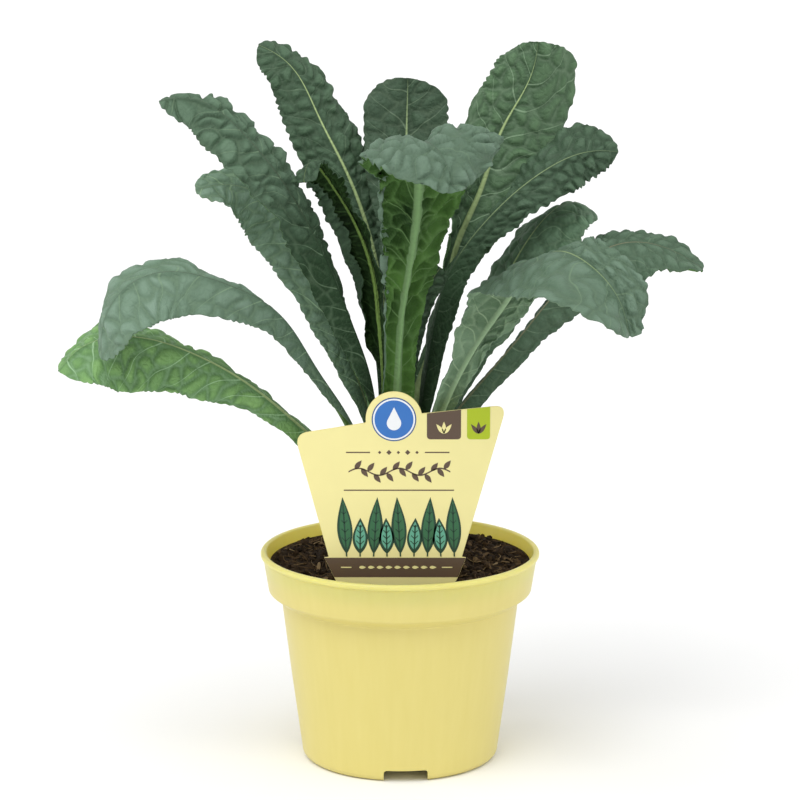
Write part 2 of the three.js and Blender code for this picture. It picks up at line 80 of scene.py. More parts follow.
# Each leaf's form is as in the construction. Its looks are: the height of its blisters and their size,
# how light it is (its own tone, and partly painted light and shade for where it stands among the other
# leaves), how strong its grey bloom, its dark lower part and its pale veins are, the width and the colour
# of its midrib, and the colour of its lower face.
LEAVES = [
    dict(
        at=112, z=124, length=200, half=[2.6, 3.5, 8.5, 13.5, 15, 9], lop=-0.08, tip=1,
        heading=[104, 94, 148, 159, 168], climb=[67, 81, 75, 76, 69, 60, 62, 19],
        roll=[0, 19, 44, 41], fold=[15, 9, -7], curl=[0, -11, -24],
        blister=0.9, cell=6.5, light=0.9, bloom=0.35, shade=0.35, veins=0.5, ribbed=1.3, rib="bright",
    ),
    dict(
        at=208, z=122, length=205, half=[2.6, 6.5, 9, 12, 15, 8], lop=-0.17, tip=1.2,
        heading=[213, 205, 184, 184, 171], climb=[89, 84, 70, 68, 63, 53, 39, -17],
        roll=[0, 46, 40, 41], fold=[0, -42, -5, -26], curl=[0, 0, -22],
        calm=0.35, blister=1.1, cell=7.5, light=1.08, bloom=0.6, shade=1.3, veins=0.55, ribbed=0.5,
        rib="dark",
    ),
    dict(
        at=158, z=122, length=163, half=[2.6, 6, 8.5, 11.5, 15.5, 9], lop=-0.19, tip=1.9,
        heading=[156, 165, 171, 179, 196], climb=[88, 75, 68, 67, 65, 60, 22, -21],
        roll=[0, 42, 68, 37], fold=[10, -1, 6], curl=[0, -11, -6],
        calm=0.2, blister=0.8, cell=6.5, light=1.7, bloom=1.0, shade=0.35, veins=1.2, ribbed=0.4, rib="pale",
    ),
    dict(
        at=154, z=129, reach=3.2, length=161, half=[2.2, 5, 11.8, 12.6, 11, 7], lop=0.6, tip=0.8,
        heading=[151, 147, 161, 212, 263], climb=[90, 90, 86, 84, 70, 56, 35, -55],
        roll=[-1, -49, -47, -18], fold=[-2, -17, -34, -9], curl=[20, -19],
        hem=dict(angle=-150, start=0.5, end=1, sides=(1,)),
        calm=0.6, blister=1.7, cell=4, light=0.8, bloom=0.3, shade=0.6, veins=0.1, ribbed=0.4, rib="green",
        # Painted shade: its lower face takes the darker "dark" colours
        below="dark",
    ),
    dict(
        at=-90, z=122, length=229, half=[2.6, 7.5, 9.5, 16.5, 23.5, 29.5, 26], lop=-0.08, tip=1.1,
        heading=[-96, -77, -73, -90, -40], climb=[78, 84, 79, 64, 61, 33, 0, -80],
        roll=[-8, -8], fold=[13, -13, 4, 26, -9], curl=[8, -11, 1, -71, -6],
        hem=dict(angle=-140, start=0.8, end=0.72, sides=(1,)), groove=3,
        blister=1.1, cell=7.5, light=1.08, bloom=1.0, shade=0.1, veins=0.35, ribbed=0.2, rib="dark",
        below="green",
    ),
    dict(
        at=62, z=129, reach=3.2, length=165, half=[2.2, 3.5, 6.5, 12, 18, 18.5], lop=-0.01, tip=0.8,
        heading=[66, 92, 79, 89, 76], climb=[84, 71, 77, 75, 78, 80, 83, 83],
        roll=[-1, -3], fold=[12, 9, 14], curl=[0, -1, -13],
        groove=1,
        blister=0.35, cell=9, light=0.7, bloom=0.4, shade=0.2, veins=1.0, ribbed=2.2, rib="pale",
    ),
    dict(
        at=66, z=124, length=196, half=[2.6, 4, 6.5, 15, 21, 20], lop=0.16, tip=0.8,
        heading=[57, 39, 40, 29, -8], climb=[78, 69, 66, 78, 57, 69, 58, 86],
        roll=[1, -74, -72, -100], fold=[14, 36, -17], curl=[3, 13, -20],
        groove=1.2,
        calm=0.3, blister=0.75, cell=8, light=1.25, bloom=0.25, shade=0.5, veins=1.0, ribbed=1.9,
        rib="bright", fresh=0.4,
    ),
    dict(
        at=18, z=123, length=184, half=[2.6, 5.5, 9.5, 12, 17, 13.5], lop=-0.15, tip=0.9,
        heading=[20, 26, 15, 6, 20], climb=[83, 80, 81, 73, 52, 41, 24, -11],
        roll=[-6, -17, -21, -75], fold=[-13, -26, -18], curl=[-10, -14, -22],
        calm=0.4, blister=1.25, cell=6, light=0.85, bloom=0.4, shade=1.3, veins=0.3, ribbed=0.9, rib="pale",
    ),
    dict(
        at=35, z=112, length=165, half=[2.6, 5, 8, 13.5, 17.5, 13.5], lop=0.25, tip=1.2,
        heading=[34, 23, 19, 26, 22], climb=[61, 64, 66, 64, 64, 55, 31, -52],
        roll=[-1, -20, -24, 6], fold=[10, -3, -15], curl=[1, -11, -29],
        blister=0.5, cell=8, light=1.4, bloom=0.45, shade=0.3, veins=0.6, ribbed=1.1, rib="pale",
    ),
    dict(
        at=-48, z=110, length=216, half=[2.6, 6, 11.5, 20.5, 22, 21.5], lop=0.44, tip=1,
        heading=[-51, -34, -47, -64, -13], climb=[70, 68, 61, 50, 47, 15, -29, -84],
        roll=[0, 24, 39, -23, -25], fold=[2, -13, 3, 39], curl=[-6, -58, -21],
        blister=0.55, cell=9, light=1.1, bloom=0.95, shade=0.1, veins=0.6, ribbed=0.9, rib="pale",
        below="grey",
    ),
    dict(
        at=-8, z=103, length=196, half=[2.6, 6, 7.5, 12, 18, 8.5], lop=0.24, tip=1.5,
        heading=[-5, 11, 15, 17, 9], climb=[80, 70, 50, 48, 49, 34, -11, -39],
        roll=[-1, -38, -22], fold=[2, -46, 3], curl=[1, -27, 12],
        blister=0.7, cell=7, light=1.0, bloom=0.6, shade=0.6, veins=0.45, ribbed=0.8, rib="pink",
    ),
    dict(
        at=226, z=110, length=208, half=[2.6, 5.5, 8, 12, 18.5, 16], lop=-0.15, tip=1.1,
        heading=[229, 211, 204, 187, 175], climb=[67, 67, 55, 58, 29, 10, -46, -98],
        roll=[2, 22, 40, 29], fold=[0, -34, -13], curl=[-1, -9, 1],
        blister=0.4, cell=9.5, light=1.33, bloom=1.1, shade=0.6, veins=0.55, ribbed=0.25, rib="dark",
    ),
    dict(
        at=182, z=104, length=176, half=[2.6, 7.5, 8.5, 16.5, 23, 18.5], lop=-0.06, tip=0.9,
        heading=[200, 198, 190, 191, 182], climb=[71, 49, 44, 41, 30, 19, -9, -58],
        roll=[3, 35, 36, 28], fold=[-2, -29, -22], curl=[-2, -16, -2],
        blister=0.5, cell=9, light=3.2, bloom=0.05, shade=0.2, veins=0.5, ribbed=1.1, rib="bright", fresh=1,
    ),
    dict(
        at=-20, z=129, reach=4.2, length=88, half=[1.8, 2.4, 3.4, 5, 6], lop=0, tip=1.2,
        heading=[0, -5, -15, -15, 0], climb=[89, 88, 87, 85, 82, 77, 68, 52],
        roll=[-80, -80], fold=[5, 5], curl=[0, 0],
        blister=2, cell=4, light=0.55, bloom=0.05, shade=0.3, veins=0.2, ribbed=0.3, rib="green",
        # Painted shade: its lower face takes the darker "dark" colours
        below="dark",
    ),
]


# Small shared helpers
def blend(values, s):
    """A smooth curve through values at even steps, read at share s of its length."""
    v = np.asarray(values, float)
    last = len(v) - 1
    x = np.clip(s, 0, 1) * last
    i = np.minimum(np.floor(x).astype(int), last - 1)
    f = x - i
    a, b, c, d = (v[np.clip(i + k, 0, last)] for k in (-1, 0, 1, 2))
    return b + 0.5 * f * (c - a + f * (2 * a - 5 * b + 4 * c - d + f * (3 * (b - c) + d - a)))


def smooth(x):
    x = np.clip(x, 0, 1)
    return x * x * (3 - 2 * x)


def noise(x, y, seed):
    """Smooth noise from -1 to 1 with a period of about 1."""
    table = np.random.default_rng(seed).uniform(-1, 1, (64, 64))
    i, j = np.floor(x).astype(int), np.floor(y).astype(int)
    u, v = smooth(x - i), smooth(y - j)
    low = table[i % 64, j % 64] * (1 - u) + table[(i + 1) % 64, j % 64] * u
    high = table[i % 64, (j + 1) % 64] * (1 - u) + table[(i + 1) % 64, (j + 1) % 64] * u
    return low * (1 - v) + high * v


def cells(q, r, seed):
    """Cells about 1 across: how far each point is from its cell's edge, and the cell's own number."""
    rng = np.random.default_rng(seed)
    dq, dr, own = (rng.uniform(-1, 1, (64, 64)) for _ in range(3))
    first = np.full(q.shape, 9.0)
    second = np.full(q.shape, 9.0)
    number = np.zeros(q.shape)
    i0, j0 = np.floor(q).astype(int), np.floor(r).astype(int)
    for i in (i0 - 1, i0, i0 + 1):
        for j in (j0 - 1, j0, j0 + 1):
            a, b = i % 64, j % 64
            far = np.hypot(q - i - 0.5 - 0.38 * dq[a, b], r - j - 0.5 - 0.4 * dr[a, b])
            nearer = far < first
            second = np.where(nearer, first, np.minimum(second, far))
            number = np.where(nearer, own[a, b], number)
            first = np.where(nearer, far, first)
    return second - first, number


def placed(name, data):
    """A new object in the scene."""
    made = bpy.data.objects.new(name, data)
    bpy.context.scene.collection.objects.link(made)
    return made


def part_piece(name, data, material, node=None):
    """A visible piece of the part, which may stand in for a node."""
    data.materials.append(material)
    piece = placed(name, data)
    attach(piece, "root")
    if node:
        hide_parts(node)
    return piece


def mesh_of(name, points, faces):
    """A mesh made from points in millimetres."""
    mesh = bpy.data.meshes.new(name)
    mesh.from_pydata((np.asarray(points, float) * MM).tolist(), [], faces)
    return mesh


def mesh_piece(name, points, faces, material, node, values=None, smooth_faces=True):
    """A piece of the part made from points in millimetres, with values stored at its points."""
    mesh = mesh_of(name, points, faces)
    mesh.validate()
    for key, data in (values or {}).items():
        attribute = mesh.attributes.new(key, "FLOAT", "POINT")
        attribute.data.foreach_set("value", np.asarray(data, np.float32).ravel())
    if smooth_faces:
        mesh.shade_smooth()
    return part_piece(name, mesh, material, node)


# Materials
class Shader:
    """A new material with one principled shader, and short ways to add nodes to it."""

    def __init__(self, name, roughness=0.5, specular=0.5):
        self.material = bpy.data.materials.new(name)
        self.material.use_nodes = True
        self.tree = self.material.node_tree
        self.main = next(n for n in self.tree.nodes if n.type == "BSDF_PRINCIPLED")
        self.main.inputs["Roughness"].default_value = roughness
        self.main.inputs["Specular IOR Level"].default_value = specular
        coordinates = self.tree.nodes.new("ShaderNodeTexCoord")
        self.place = coordinates.outputs["Object"]

    def link(self, value, socket):
        """Links a socket, or sets it to a number, a vector or a colour."""
        if isinstance(value, bpy.types.NodeSocket):
            self.tree.links.new(value, socket)
        else:
            socket.default_value = (*value, 1) if socket.type == "RGBA" else value

    def node(self, kind, output, inputs=(), **settings):
        """Adds a node with its inputs and gives back one of its outputs."""
        made = self.tree.nodes.new(kind)
        for key, value in settings.items():
            setattr(made, key, value)
        for key, value in dict(inputs).items():
            self.link(value, made.inputs[key])
        return made.outputs[output]

    def stretched(self, scale):
        return self.node("ShaderNodeMapping", "Vector", {"Vector": self.place, "Scale": scale})

    def noise(self, scale, detail=3, roughness=0.5, place=None):
        inputs = {"Vector": place or self.place, "Scale": scale, "Detail": detail, "Roughness": roughness}
        return self.node("ShaderNodeTexNoise", "Fac", inputs)

    def attribute(self, name):
        return self.node("ShaderNodeAttribute", "Fac", attribute_name=name)

    def ramp(self, value, stops):
        made = self.tree.nodes.new("ShaderNodeValToRGB")
        ramp = made.color_ramp
        while len(ramp.elements) < len(stops):
            ramp.elements.new(0.5)
        for element, (position, color) in zip(ramp.elements, stops):
            element.position, element.color = position, (*color, 1)
        self.link(value, made.inputs["Fac"])
        return made.outputs["Color"]

    def mix(self, share, a, b):
        return self.node("ShaderNodeMix", 2, {0: share, 6: a, 7: b}, data_type="RGBA")

    def math(self, operation, a, b=0.0):
        return self.node("ShaderNodeMath", 0, {0: a, 1: b}, operation=operation)

    def times(self, a, b):
        return self.math("MULTIPLY", a, b)

    def scaled(self, value, low, high, start=0.0, end=1.0):
        """A value taken from the range start to end into the range low to high."""
        inputs = {"Value": value, "From Min": start, "From Max": end, "To Min": low, "To Max": high}
        return self.node("ShaderNodeMapRange", "Result", inputs)

    def line(self, width, distance, soft):
        """1 where a distance is less than a width, 0 where it is more, with a soft edge."""
        inputs = {0: self.math("SUBTRACT", width, distance), 1: 1 / soft, 2: 0.5}
        return self.node("ShaderNodeMath", 0, inputs, operation="MULTIPLY_ADD", use_clamp=True)

    def net(self, size):
        """The distance to the nearest line of a net on the blade, from its two lengths in millimetres."""
        lengths = {0: self.attribute("along"), 1: self.attribute("across")}
        place = self.node("ShaderNodeCombineXYZ", 0, lengths)
        inputs = {"Vector": place, "Scale": 0.3}
        warp = self.node("ShaderNodeTexNoise", "Color", inputs, noise_dimensions="2D")
        inputs = {0: warp, 1: (3, 3, 3), 2: place}
        moved = self.node("ShaderNodeVectorMath", 0, inputs, operation="MULTIPLY_ADD")
        inputs = {"Vector": moved, "Scale": 1 / size}
        kind = {"voronoi_dimensions": "2D", "feature": "DISTANCE_TO_EDGE"}
        return self.node("ShaderNodeTexVoronoi", "Distance", inputs, **kind)

    def bump(self, height, strength, distance):
        inputs = {"Strength": strength, "Distance": distance, "Height": height}
        self.link(self.node("ShaderNodeBump", "Normal", inputs), self.main.inputs["Normal"])

    def color(self, value):
        self.link(value, self.main.inputs["Base Color"])


# An upper face: its painted shade between the blisters, its green on them, how much fresher it can be,
# its bloom, its dark lower part, its veins, and the kinds of midrib
CREASE_SHADE = (0.013, 0.038, 0.015)
GREEN = (0.063, 0.132, 0.060)
FRESHER = (0.010, 0.006, -0.018)
GREY = (0.150, 0.224, 0.168)
SHADED = (0.019, 0.047, 0.019)
VEIN = (0.168, 0.252, 0.156)
RIBS = {
    "bright": (0.46, 0.60, 0.27),
    "green": (0.30, 0.40, 0.12),
    "pale": (0.32, 0.43, 0.21),
    "dark": (0.09, 0.12, 0.075),
    "pink": (0.24, 0.235, 0.14),
}
# A lower face: its darker green, its lighter green for the painted patches of light, its veins and its midrib
BELOW = {
    "green": ((0.012, 0.042, 0.007), (0.076, 0.180, 0.034), (0.130, 0.240, 0.085), (0.20, 0.35, 0.145)),
    # Painted shade: "dark" is a darker copy of "green" for lower faces that lie in shade
    "dark": ((0.004, 0.016, 0.002), (0.013, 0.042, 0.006), (0.050, 0.110, 0.030), (0.22, 0.36, 0.085)),
    "grey": ((0.095, 0.165, 0.090), (0.175, 0.275, 0.170), (0.290, 0.400, 0.250), (0.30, 0.44, 0.26)),
}


def dimmed(color, share):
    return tuple(share * c for c in color)


def upper_face(shader, leaf, rise, shade, patches, specks):
    """Dark green under a grey bloom, lighter on the blister tops with painted shade between them, and darker
    towards the leaf's foot.
    """
    fresh = leaf.get("fresh", 0)
    green = tuple(a + fresh * b for a, b in zip(GREEN, FRESHER))
    # Painted shade: a darker colour in the creases between the blisters, green on their tops
    lit = shader.times(shader.scaled(rise, 0.3, 1.0), shader.scaled(specks, 0.7, 1.25))
    color = shader.mix(lit, dimmed(CREASE_SHADE, leaf["light"]), dimmed(green, leaf["light"]))
    frost = shader.times(shader.scaled(patches, 0.45, 1.25), leaf["bloom"])
    frost = shader.math("MINIMUM", shader.times(frost, shader.scaled(rise, 0.5, 1.0)), 1.0)
    return shader.mix(shade, shader.mix(frost, color, dimmed(GREY, leaf["light"])), SHADED)


def lower_face(shader, dark, fresh, rise, share):
    """Painted light: lighter green in wide patches and towards the margin, darker between them, with painted
    shade in the hollows behind the blisters.
    """
    wide = shader.scaled(shader.noise(30, 2, 0.5), -1.7, 2.2)
    # Painted light: the lighter patches and the lighter margin
    sunlit = shader.math("ADD", wide, shader.times(share, 0.5))
    sunlit = shader.math("MINIMUM", shader.math("MAXIMUM", sunlit, 0.0), 1.0)
    # Painted shade: darker where the blisters leave hollows on the lower face
    return shader.mix(shader.times(rise, 0.4), shader.mix(sunlit, dark, fresh), dark)


def vein_lines(shader, share, under, net):
    """Where laterals, the larger net and the fine net show."""
    to_lateral = shader.times(shader.math("PINGPONG", shader.attribute("lateral"), 0.5), LEAF.laterals)
    width = shader.math("ADD", shader.scaled(share, 0.36, 0.1), shader.times(under, 0.12))
    larger = shader.times(shader.attribute("net"), 0.45)
    fine = shader.times(shader.line(0.035, net, 0.06), 0.15)
    return shader.math("MAXIMUM", shader.math("MAXIMUM", shader.line(width, to_lateral, 0.35), larger), fine)


def leaf_material(name, leaf):
    """A leaf's two faces with their veins and the midrib."""
    shader = Shader(name, roughness=0.58, specular=0.22)
    keys = ("far", "share", "under", "rise", "shade", "rib")
    far, share, under, rise, shade, rib = map(shader.attribute, keys)
    patches, specks = shader.noise(70, 4, 0.6), shader.noise(420, 3, 0.6)
    net = shader.net(LEAF.net)
    dark, fresh, pale, keel = BELOW[leaf.get("below", "green")]
    upper = upper_face(shader, leaf, rise, shade, patches, specks)
    base = shader.mix(under, upper, lower_face(shader, dark, fresh, rise, share))

    vein = shader.mix(under, dimmed(VEIN, leaf["light"]), pale)
    strength = shader.scaled(under, leaf["veins"], 0.75)
    base = shader.mix(shader.times(vein_lines(shader, share, under, net), strength), base, vein)
    # Painted light and shade: each midrib is lighter along its middle and darker towards its edges, as on a
    # lit rounded rib
    across = shader.scaled(shader.math("DIVIDE", far, rib), 0.0, 0.8)
    rib_top = RIBS[leaf["rib"]]
    above = shader.mix(shade, shader.mix(across, rib_top, dimmed(rib_top, 0.6)), SHADED)
    below = shader.mix(across, keel, dimmed(keel, 0.55))
    shader.color(shader.mix(shader.line(rib, far, 0.35), base, shader.mix(under, above, below)))

    dull = shader.times(shader.math("MAXIMUM", under, shade), 0.25)
    rough = shader.math("ADD", shader.scaled(patches, 0.46, 0.64), dull)
    shader.link(rough, shader.main.inputs["Roughness"])
    grain = shader.math("ADD", shader.times(specks, 0.35), shader.math("MINIMUM", net, 0.3))
    shader.bump(grain, 0.55, 0.0012)
    return shader.material


def pot_material():
    """Pale yellow moulded plastic with faint upright streaks. Light goes through the free upper rim."""
    shader = Shader("pot_plastic", roughness=0.36, specular=0.45)
    streaks = shader.noise(1.0, 3, 0.5, shader.stretched((260, 260, 9)))
    clouds = shader.noise(14, 3, 0.5)
    color = shader.mix(shader.scaled(streaks, 0, 1), (0.69, 0.59, 0.175), (0.74, 0.64, 0.22))
    shader.color(shader.mix(shader.times(clouds, 0.35), color, (0.68, 0.59, 0.195)))
    shader.link(shader.scaled(streaks, 0.3, 0.44), shader.main.inputs["Roughness"])
    shader.bump(streaks, 0.12, 0.0006)
    height = shader.node("ShaderNodeSeparateXYZ", "Z", {0: shader.place})
    level = SOIL.edge_level * MM
    free = shader.scaled(height, 0.0, 0.7, level, level + 5 * MM)
    shader.link(free, shader.main.inputs["Subsurface Weight"])
    shader.main.inputs["Subsurface Radius"].default_value = (1, 0.8, 0.4)
    shader.main.inputs["Subsurface Scale"].default_value = 0.012
    return shader.material


def soil_material():
    """Dark peat. Each crumb and fibre has its own tone."""
    shader = Shader("peat", roughness=0.9, specular=0.25)
    tone = shader.attribute("tone")
    color = shader.ramp(
        tone,
        [
            (0.0, (0.008, 0.005, 0.002)),
            (0.35, (0.046, 0.026, 0.010)),
            (0.7, (0.12, 0.070, 0.027)),
            (0.9, (0.22, 0.14, 0.06)),
            (1.0, (0.40, 0.28, 0.14)),
        ],
    )
    grain = shader.noise(900, 4, 0.65)
    shader.color(shader.mix(shader.scaled(grain, 0.0, 0.8), color, (0.012, 0.006, 0.004)))
    shader.bump(grain, 0.6, 0.0008)
    return shader.material


def print_material(name, color, variation=0.06):
    """Ink or coated card, slightly uneven."""
    shader = Shader(name, roughness=0.42, specular=0.4)
    clouds = shader.noise(90, 3, 0.5)
    darker = tuple(c * (1 - variation) for c in color)
    shader.color(shader.mix(shader.scaled(clouds, 0, 1), darker, color))
    shader.bump(shader.noise(1500, 2, 0.5), 0.05, 0.0002)
    return shader.material


def stem_material():
    """A pale green stem with brown leaf scars."""
    shader = Shader("stem_skin", roughness=0.6, specular=0.35)
    bands = shader.noise(1.0, 3, 0.6, shader.stretched((120, 120, 320)))
    color = shader.ramp(
        bands,
        [(0.3, (0.20, 0.26, 0.10)), (0.5, (0.28, 0.36, 0.15)), (0.7, (0.30, 0.26, 0.15))],
    )
    shader.color(color)
    shader.bump(bands, 0.4, 0.001)
    return shader.material


# Leaves
def leaf_frames(leaf, shares):
    """The spine of a leaf and, at shares along it, the directions forwards, to the right and up."""

    def forwards(s):
        heading, climb = np.radians(blend(leaf["heading"], s)), np.radians(blend(leaf["climb"], s))
        flat = np.cos(climb)
        return np.stack([flat * np.cos(heading), flat * np.sin(heading), np.sin(climb)], -1)

    steps = LEAF.spine_steps
    at, reach = math.radians(leaf["at"]), leaf.get("reach", LEAF.reach)
    start = [STEM.x + reach * math.cos(at), STEM.y + reach * math.sin(at), leaf["z"]]
    moves = forwards((np.arange(steps) + 0.5) / steps) * leaf["length"] / steps
    spine = np.vstack([start, start + np.cumsum(moves, 0)])
    i = np.minimum((shares * steps).astype(int), steps - 1)
    f = (shares * steps - i)[:, None]
    centre = spine[i] * (1 - f) + spine[i + 1] * f
    heading, roll = np.radians(blend(leaf["heading"], shares)), np.radians(blend(leaf["roll"], shares))
    level = np.stack([np.sin(heading), -np.cos(heading), 0 * heading], -1)
    above = np.cross(level, forwards(shares))
    c, s = np.cos(roll)[:, None], np.sin(roll)[:, None]
    return centre, level * c + above * s, above * c - level * s


def leaf_half_width(leaf, s):
    tip_start = 1 - leaf["tip"] * leaf["half"][-1] / leaf["length"]
    u = np.clip((s - tip_start) / (1 - tip_start), 0, 1)
    roundness = np.sqrt(np.maximum(0, 1 - u**2.2))
    return LEAF.margin + (blend(leaf["half"], s) - LEAF.margin) * roundness


def rib_size(leaf, s):
    """The keel's half width and depth."""
    size = min(1, leaf["half"][0] / 2.6)
    return 3 * (1 - s) ** 0.8 + 0.7, size * (2.6 * (1 - s) ** 1.1 + 0.5)


def leaf_slopes(leaf, s, t, side, grow):
    """The slope of each half at share t of the way to the margin, and how far it has gone out and up."""
    fold = np.radians(blend(leaf["fold"], s))[:, None]
    curl = np.radians(blend(leaf["curl"], s))[:, None]
    hem = leaf.get("hem", dict(angle=0, start=0.5, end=1, sides=()))
    turn = math.radians(hem["angle"]) * grow * np.isin(side, hem["sides"])
    turn = turn * (1 - smooth((s[:, None] - hem["end"]) / 0.1 + 1))

    def lean(x):
        return fold + curl * x + turn * smooth((x - hem["start"]) / (1 - hem["start"]) * 2)

    steps = 40
    parts = [lean(t * (i + 0.5) / steps) for i in range(steps)]
    return lean(t), sum(map(np.cos, parts)) / steps, sum(map(np.sin, parts)) / steps


def leaf_relief(leaf, along, across, t, seed):
    """Blisters between veins: the height, the laterals' count, the net's creases and the blisters' rise.

    Each laterals' line and each blister wanders a little. All lengths are in millimetres.
    """
    far = np.abs(across)
    side = np.where(across < 0, 0.0, 31.4)
    wander = 5 * noise(along / 15, across / 9 + side, seed)
    lateral = (along - 0.8 * far - 0.01 * far**2 + wander) / LEAF.laterals + side
    bent = 0.6 * wander + 0.3 * leaf["cell"] * noise(along / 7, across / 6 + side, seed + 1)
    a = (along - 0.3 * far + bent) / leaf["cell"]
    b = (far + 0.35 * leaf["cell"] * noise(along / 8, across / 7 + side, seed + 4)) / leaf["cell"]
    edge, number = cells(a + side, b, seed + 2)
    rise = smooth(edge / 0.55) * (0.75 + 0.25 * number)
    from_lateral = np.abs(lateral - np.round(lateral)) * LEAF.laterals
    crease = np.exp(-((from_lateral / 0.9) ** 2)) * (1 - 0.6 * t)
    fine = noise(along / 2.3, across / 2.3 + side, seed + 3)
    height = leaf["cell"] / 6 * (2.2 * rise - 1.1) + 0.2 * fine - 0.4 * crease
    net = np.exp(-((edge / 0.12) ** 2))
    return height, lateral, net, np.clip(rise * (1 - 0.5 * crease), 0, 1)


def leaf_edge(leaf, outline, side, t, width, seed):
    """How far the margin's small irregular scallops and teeth reach out."""
    lobes = 1.1 * noise(outline / 9, side * 5.3, seed + 8)
    step = outline / 4.2 + 0.9 * noise(outline / 8, side * 3, seed + 6)
    scallops = (0.9 + 0.6 * noise(outline / 7, side * 9, seed + 9)) * (np.abs(np.sin(math.pi * step)) - 0.64)
    teeth = 0.3 * noise(outline / 1.6, side * 3.3, seed + 7)
    inner = 0.7 * np.clip(width / 8, 0, 1)
    return (lobes + scallops + teeth) * smooth((t - inner) / (1 - inner)) * (0.5 + 0.45 * leaf["blister"])


def leaf_surface(leaf, rows, seed):
    """Matching points on the upper and the lower face, with the values that colour them."""
    shares = 1 - (1 - np.linspace(0, 1, rows + 1)) ** LEAF.crowding
    s = shares[:, None]
    centre, right, up = leaf_frames(leaf, shares)
    width = leaf_half_width(leaf, s)
    rib_width, rib_depth = rib_size(leaf, s)
    rib_edge = np.minimum(rib_width, width * 0.8)
    in_rib = np.array([0, *LEAF.rib_columns])[None, :] * rib_edge
    in_blade = rib_edge + (width - rib_edge) * np.linspace(0, 1, LEAF.blade_columns + 1)[None, 1:]
    half = np.concatenate([in_rib, in_blade], 1)
    near = np.concatenate([half[:, :0:-1], half], 1)
    count = half.shape[1] - 1
    side = np.concatenate([-np.ones(count), np.ones(count + 1)])[None, :]
    grow = np.clip((width - 4) / 8, 0, 1)
    t = near / width
    lean, out, rise = leaf_slopes(leaf, shares, t, side, grow)
    reach = near * (1 + side * leaf["lop"] * grow)
    r3, u3 = right[:, None], up[:, None]
    sideways, lift = side * np.sin(lean), np.cos(lean)
    soft = np.clip(near / rib_edge, 0, 1)
    normal = u3 * (lift * soft + 1 - soft)[..., None] - r3 * (sideways * soft)[..., None]
    normal /= np.linalg.norm(normal, axis=-1, keepdims=True)
    outwards = r3 * (side * np.cos(lean))[..., None] + u3 * np.sin(lean)[..., None]

    along = s * leaf["length"] + 0 * near
    height, lateral, net, blister = leaf_relief(leaf, along, side * near, t, seed)
    rib_line = 1.5 * leaf["ribbed"] * (1 - s) ** 1.1 + 0 * near
    off_rib = smooth((near - 0.6 * rib_line) / (0.8 + rib_edge))
    blistered = 0.2 + 0.8 * smooth((s - leaf.get("calm", LEAF.calm)) / 0.25)
    size = leaf["blister"] * (0.2 + 0.8 * grow) * blistered
    groove = leaf.get("groove", LEAF.groove) * grow * np.exp(-((near / (0.18 * width)) ** 2))
    wave = np.sin(2 * math.pi * LEAF.waves * s + 1.3 * side)
    frill = noise(along / 3.4, side * 7.5, seed + 5) * t**4
    relief = size * (off_rib * height + 0.9 * grow * frill) + LEAF.ruffle * t**2 * grow * wave - groove
    narrowing = np.gradient(width[:, 0], shares * leaf["length"])[:, None, None]
    turned_out = (outwards - np.cross(up, right)[:, None] * narrowing) / np.sqrt(1 + narrowing**2)
    outline = np.cumsum(np.hypot(np.diff(width[:, 0], prepend=0), np.diff(along[:, 0], prepend=0)))[:, None]
    full = np.clip((blend(leaf["half"], s) - 4) / 8, 0, 1)
    edge_out = full * leaf_edge(leaf, outline + 0 * near, side, t, width, seed)
    top = centre[:, None] + r3 * (side * reach * out)[..., None] + u3 * (reach * rise)[..., None]
    top = top + normal * relief[..., None] + turned_out * edge_out[..., None]

    keel = rib_depth * np.maximum(0, 1 - (near / rib_edge) ** 2)
    blade = LEAF.blade * (1 - 0.5 * t**4)
    bottom = top - normal * (blade + keel + 0.25 * net * off_rib)[..., None]
    values = {
        "along": along + 17 * seed,
        "across": side * near,
        "far": near,
        "share": t,
        "lateral": lateral,
        "net": net * off_rib,
        "rise": blister * off_rib,
        "shade": np.clip(leaf["shade"] * smooth((0.8 - s) / 0.45), 0, 1) + 0 * near,
    }
    upper = {**values, "rib": rib_line, "under": 0 * near}
    lower = {**values, "rib": 0.68 * rib_edge + 0 * near, "under": 0 * near + 1}
    return top, bottom, upper, lower


def leaf_piece(node, leaf, seed):
    """A leaf as one closed mesh: rows of points on both faces, joined round the margin."""
    name = f"blistered_{node}"
    rows = round(leaf["length"] / leaf.get("row", LEAF.row))
    top, bottom, upper, lower = leaf_surface(leaf, rows, seed)
    columns = top.shape[1]
    under = top.shape[0] * columns
    points = np.concatenate([top.reshape(-1, 3), bottom.reshape(-1, 3)])
    values = {key: np.concatenate([upper[key].ravel(), lower[key].ravel()]) for key in upper}
    faces = []
    for i in range(rows):
        for j in range(columns - 1):
            a, b = i * columns + j, i * columns + j + 1
            c, d = b + columns, a + columns
            faces.append((a, b, c, d))
            faces.append((a + under, d + under, c + under, b + under))
        left, right = i * columns, (i + 1) * columns - 1
        faces.append((left, left + columns, left + columns + under, left + under))
        faces.append((right, right + under, right + columns + under, right + columns))
    for j in range(columns - 1):
        end = rows * columns + j
        faces.append((j, j + under, j + 1 + under, j + 1))
        faces.append((end, end + 1, end + 1 + under, end + under))
    mesh_piece(name, points, faces, leaf_material(name, leaf), node, values)


